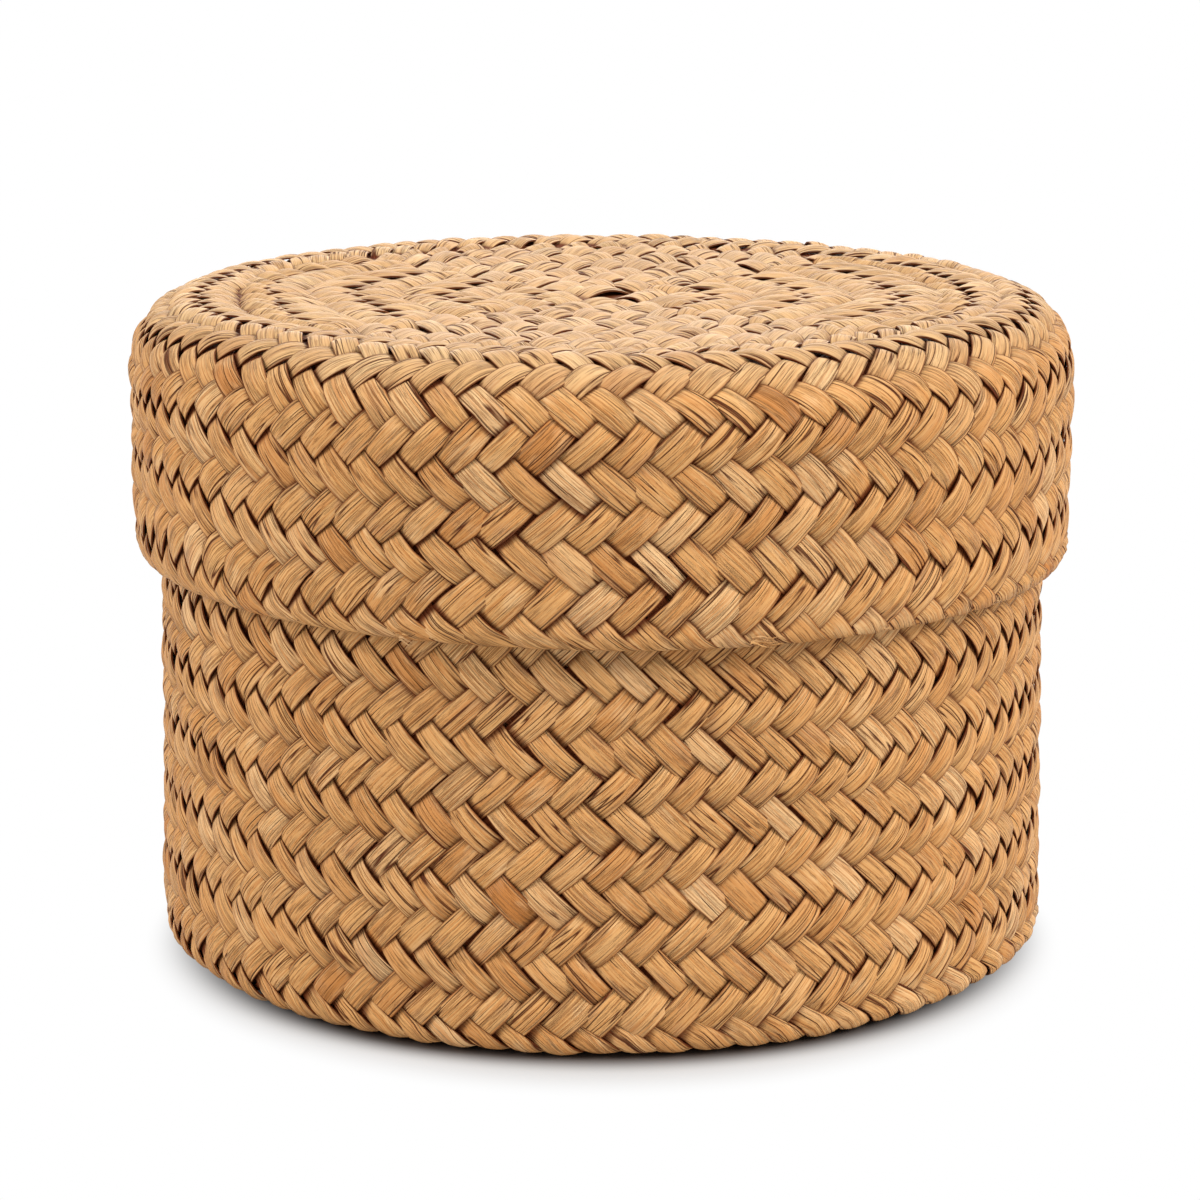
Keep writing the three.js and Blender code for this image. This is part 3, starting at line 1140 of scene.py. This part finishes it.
@dataclass
class Maker:
    """Lays the box and the lid round the solids of the frame.

    Attributes:
        sizes: Sizes of the plait.
        weave: Finish of the outer layers.
        inside: Finish of the linings.
    """

    sizes: PlaitSizes
    weave: bpy.types.Material
    inside: bpy.types.Material

    def outer(self, profile: Profile, marks: Marks, **choices: Any) -> PlaitLayer:
        """Plans an outer layer, with full relief.

        Args:
            profile: The section that it follows.
            marks: Pairs of a row and its distance from the middle.
            **choices: What differs from the usual outer layer.

        Returns:
            The layer.
        """
        sizes = self.sizes
        usual = {"half_side": sizes.half_side, "wave": sizes.wave, "crown": sizes.crown,
                 "thickness": sizes.leaf, "steps": 5, "cuts": 4, "cover": 1.055}
        return PlaitLayer(profile=profile, marks=marks, **{**usual, **choices})

    def lining(self, profile: Profile, marks: Marks, **choices: Any) -> PlaitLayer:
        """Plans an inner layer, flatter, whose floats are raised towards the inside.

        Args:
            profile: The section that it follows.
            marks: Pairs of a row and its distance from the middle.
            **choices: What differs from the usual lining.

        Returns:
            The layer.
        """
        sizes = self.sizes
        return PlaitLayer(profile=profile, marks=marks, half_side=sizes.half_side, steps=3, cuts=2,
                          wave=-0.3 * sizes.wave, crown=-0.4 * sizes.crown, thickness=sizes.leaf,
                          cover=0.98, **choices)

    def square_marks(self, profile: Profile) -> Marks:
        """Sets the rows of a plait that starts from the square.

        Args:
            profile: The section that the plait follows.

        Returns:
            The middle, the last row of the square and the last row of all.
        """
        sizes = self.sizes
        last = sizes.half_side + (profile.length - sizes.base_square) / sizes.base_row
        return ((0.0, 0.0), (sizes.half_side, sizes.base_square), (last, profile.length))

    def box(self) -> list[Layer]:
        """The box: strips from rim to rim across the base, and a lining.

        Returns:
            The box's layers.
        """
        sizes = self.sizes
        rim_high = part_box("box_rim_fold")[1]
        wall_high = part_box("box_wall_weave")[1]
        skin = sizes.wave + sizes.crown
        depth = skin + sizes.lining_depth
        outer = Profile(
            flat_radius=wall_high.x - sizes.heel_radius, turn_radius=sizes.heel_radius - skin,
            end_height=skin + sizes.base_lift, rim_height=rim_high.z - skin,
            wall_radius=wall_high.x - skin, rim_radius=rim_high.x - skin, dish=0.0,
            facing=Facing.DOWN, fold_radius=sizes.fold_radius, tucked=sizes.tucked,
        )
        inner = replace(
            outer, turn_radius=sizes.heel_radius - depth, end_height=depth + sizes.base_lift,
            rim_height=rim_high.z - sizes.lining_gap, wall_radius=wall_high.x - depth,
            rim_radius=rim_high.x - depth, fold_radius=0.0, tucked=0.0,
        )
        outer_marks, inner_marks = self.square_marks(outer), self.square_marks(inner)
        strips = self.outer(
            outer, outer_marks, row_shift=0, rows=(0.0, outer_marks[-1][0]), seed=11,
            roll=(sizes.heel_row, sizes.heel_roll), gloom=0.8)
        lining = self.lining(
            inner, inner_marks, row_shift=1, rows=(0.0, inner_marks[-1][0]), seed=12, gloom=0.8)
        outer_nodes = ("box_base_weave", "box_wall_weave", "box_rim_fold")
        return [
            Layer("box_strips", strips, outer_nodes, self.weave, "palm_weave"),
            Layer("box_lining", lining, ("box_base_lining", "box_wall_lining"), self.inside,
                  "palm_lining"),
        ]

    def frays(self) -> None:
        """Tears the ends of two strips at the front of the lid's rim."""
        low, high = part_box("lid_rim_fold")
        for fray in FRAYS:
            piece = fray.build(high.x - self.sizes.fray_inset, low.z)
            dress(piece, self.weave, "lid", ("lid_rim_fold",))

    def lid(self) -> list[Layer]:
        """The lid: a top, a skirt whose first row covers the top's ends, and a lining.

        Returns:
            The lid's layers.
        """
        sizes = self.sizes
        rim_low, rim_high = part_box("lid_rim_fold")
        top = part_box("lid_top_weave")[1].z
        flat = rim_high.x - sizes.shoulder_radius
        skin = sizes.wave + sizes.crown
        depth = skin + sizes.lining_depth
        outer = Profile(
            flat_radius=flat, turn_radius=sizes.shoulder_radius - skin, end_height=top - skin,
            rim_height=rim_low.z + skin, wall_radius=rim_high.x - skin,
            rim_radius=rim_high.x - skin, dish=sizes.top_dish, facing=Facing.UP,
            fold_radius=sizes.fold_radius, tucked=sizes.tucked,
        )
        inner = replace(
            outer, turn_radius=sizes.shoulder_radius - depth, end_height=top - depth,
            rim_height=rim_low.z + sizes.lining_gap, wall_radius=rim_high.x - depth,
            rim_radius=rim_high.x - depth, fold_radius=0.0, tucked=0.0,
        )
        sunk = replace(outer, end_height=outer.end_height - sizes.top_sink)
        seam, rows = sizes.top_half_side, sizes.top_half_side + 0.5
        top_marks = ((0.0, 0.0), (rows, sizes.top_edge * rows / seam))
        lower = sizes.skirt_edge + 4.0 * sizes.shoulder_row
        last = 10.0 + (outer.length - lower) / sizes.skirt_row
        skirt_marks = (
            (5.0, sizes.skirt_edge - sizes.shoulder_row), (10.0, lower), (last, outer.length))
        bend_start, bend_end = sizes.rim_bend
        inside_marks = self.square_marks(inner)
        return [
            Layer("lid_top", self.outer(
                sunk, top_marks, half_side=seam, row_shift=1, rows=(0.0, rows), shown=(0.0, seam),
                seed=21, wave=sizes.top_wave, crown=sizes.top_crown, centre_hole=0.75, gloom=0.9,
                cover=1.17, flatness=0.9, dip=0.25, tilt=0.32 * MM,
            ), ("lid_top_weave",), self.weave, "palm_weave"),
            Layer("lid_skirt", self.outer(
                outer, skirt_marks, row_shift=1, rows=(5.5, last), shown=(6.0, 99.0), seed=22,
                wrap=(last - bend_start, last - bend_end), sag=sizes.rim_sag,
                drawn_up=sizes.left_rise,
            ), ("lid_skirt_weave", "lid_rim_fold"), self.weave, "palm_weave"),
            Layer("lid_lining", self.lining(
                inner, inside_marks, row_shift=1, rows=(0.0, inside_marks[-1][0]), seed=23,
            ), ("lid_top_lining", "lid_skirt_lining"), self.inside, "palm_lining"),
        ]


@dataclass(frozen=True)
class Lamp:
    """A broad far light.

    Attributes:
        strength: Its strength.
        spread: Its apparent size, in radians.
        height: Its height above the horizon, in degrees.
        turned: How far it stands round to the right of the front, in degrees.
    """

    strength: float
    spread: float
    height: float
    turned: float

    def add(self) -> None:
        """Adds the light to the scene."""
        turn = Euler((math.radians(90.0 - self.height), 0.0, math.radians(self.turned)))
        bpy.ops.object.light_add(type="SUN", rotation=turn, location=(0.0, 0.0, 1.0))
        light = bpy.context.active_object
        light.data.energy = self.strength
        light.data.angle = self.spread


@dataclass
class Studio:
    """A pale floor, soft light from above and both sides, and the photograph's camera.

    Attributes:
        camera_distance: Level distance of the camera from the box's axis.
        camera_height: Height of the camera.
        camera_pitch: How far the camera looks down, in radians.
        focal_pixels: Focal length in pixels of the photograph.
        principal: The pixel that the camera's axis meets.
        floor_side: Side of the floor.
        floor_colour: Colour of the floor as the camera sees it.
        floor_bounce: Colour of the light that the floor throws back.
        contact_shadow_colour: Colour of the painted shadow on the floor where the heel touches it.
        contact: Radii where that painted shadow begins to pale away from the heel and where it has.
        shadow: Radii where the floor begins to fade to white and where it is white.
        shadow_shift: How far the middle of that fade lies towards the viewer.
        sky: Strength of the light from all round.
        lamps: The lights from above, from the right, from the left and from the back.
    """

    camera_distance: float = 0.9
    camera_height: float = 0.3017
    camera_pitch: float = 0.2405
    focal_pixels: float = 3416.0
    principal: tuple[float, float] = (601.7, 620.5)
    floor_side: float = 8.0
    floor_colour: Colour = (0.40, 0.395, 0.39, 1.0)
    floor_bounce: Colour = (0.54, 0.54, 0.54, 1.0)
    contact_shadow_colour: Colour = (0.06, 0.048, 0.042, 1.0)
    contact: tuple[float, float] = (0.1165, 0.1285)
    shadow: tuple[float, float] = (0.099, 0.124)
    shadow_shift: float = 0.02
    sky: float = 1.0
    lamps: tuple[Lamp, ...] = (
        Lamp(0.1, 0.5, 88.0, 0.0), Lamp(3.25, 0.5, 36.0, 71.0), Lamp(2.15, 0.5, 31.0, -71.0),
        Lamp(1.0, 0.7, 20.0, 180.0))

    def build(self) -> None:
        """Makes the camera, the floor, the sky and the lamps."""
        self.camera()
        self.floor()
        self.world()
        for lamp in self.lamps:
            lamp.add()
        bpy.context.scene.view_settings.view_transform = "Standard"

    def camera(self) -> None:
        """Adds the camera and makes it the scene's."""
        place = (0.0, -self.camera_distance, self.camera_height)
        turn = (0.5 * math.pi - self.camera_pitch, 0.0, 0.0)
        bpy.ops.object.camera_add(location=place, rotation=turn)
        camera = bpy.context.active_object
        camera.data.sensor_width = SENSOR_WIDTH
        camera.data.lens = self.focal_pixels / IMAGE_SIDE * SENSOR_WIDTH
        camera.data.shift_x = (0.5 * IMAGE_SIDE - self.principal[0]) / IMAGE_SIDE
        camera.data.shift_y = (self.principal[1] - 0.5 * IMAGE_SIDE) / IMAGE_SIDE
        camera.data.clip_start = 0.05
        bpy.context.scene.camera = camera

    def floor(self) -> None:
        """Adds the floor, white to the camera away from the box's shadow."""
        bpy.ops.mesh.primitive_plane_add(size=self.floor_side)
        floor = bpy.context.active_object
        floor.name = "floor"
        material = bpy.data.materials.new("floor")
        material.use_nodes = True
        shader = Shader(material.node_tree)
        place = shader.node("ShaderNodeTexCoord", output="Object")
        shift = (0.0, self.shadow_shift, 0.0)
        shifted = shader.node("ShaderNodeVectorMath", {"operation": "ADD"}, {0: place, 1: shift})
        from_axis, from_shadow = (
            shader.node("ShaderNodeVectorMath", {"operation": "LENGTH"}, {0: point}, output="Value")
            for point in (place, shifted))
        seen = self.seen(shader)
        # Painted shadow: the floor darkens towards the heel, deepening the contact shadow.
        shown = shader.mix(from_axis.rise(*self.contact), self.contact_shadow_colour, self.floor_colour)
        colour = shader.mix(seen, self.floor_bounce, shown)
        matt = shader.node("ShaderNodeBsdfDiffuse", None, {"Color": colour})
        white = shader.node("ShaderNodeEmission", None, {"Color": (1.0, 1.0, 1.0, 1.0)})
        share = from_shadow.rise(*self.shadow) * seen
        surface = shader.node("ShaderNodeMixShader", None, {0: share, 1: matt, 2: white})
        shader.node("ShaderNodeOutputMaterial", None, {"Surface": surface})
        floor.data.materials.append(material)

    @staticmethod
    def seen(shader: Shader) -> Val:
        """Picks out rays that the camera sees directly, in a gloss or through glass.

        Args:
            shader: The tree to add to.

        Returns:
            1 for these rays, else 0.
        """
        rays = [shader.node("ShaderNodeLightPath", output=name)
                for name in ("Is Camera Ray", "Is Glossy Ray", "Is Transmission Ray")]
        return rays[0].at_least(rays[1]).at_least(rays[2])

    def world(self) -> None:
        """Sets the even light from all round, white to the camera."""
        world = bpy.data.worlds.new("studio")
        bpy.context.scene.world = world
        world.use_nodes = True
        shader = Shader(world.node_tree)
        seen = self.seen(shader)
        strength = self.sky + seen * (1.0 - self.sky)
        sockets = {"Color": (1.0, 1.0, 1.0, 1.0), "Strength": strength}
        surface = shader.node("ShaderNodeBackground", None, sockets)
        shader.node("ShaderNodeOutputWorld", None, {"Surface": surface})


def main() -> None:
    """Builds the studio, the box and the lid."""
    logging.basicConfig(level=logging.INFO, format="%(name)s: %(message)s")
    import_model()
    bpy.ops.object.select_all(action="DESELECT")
    Studio().build()
    weave = PalmLeaf("palm_weave").make()
    inside = PalmLeaf("palm_lining", roughness=0.62).make()
    maker = Maker(PlaitSizes(), weave, inside)
    for body, layers in (("box", maker.box()), ("lid", maker.lid())):
        for layer in layers:
            layer.build(body)
    maker.frays()


if __name__ == "__main__":
    main()
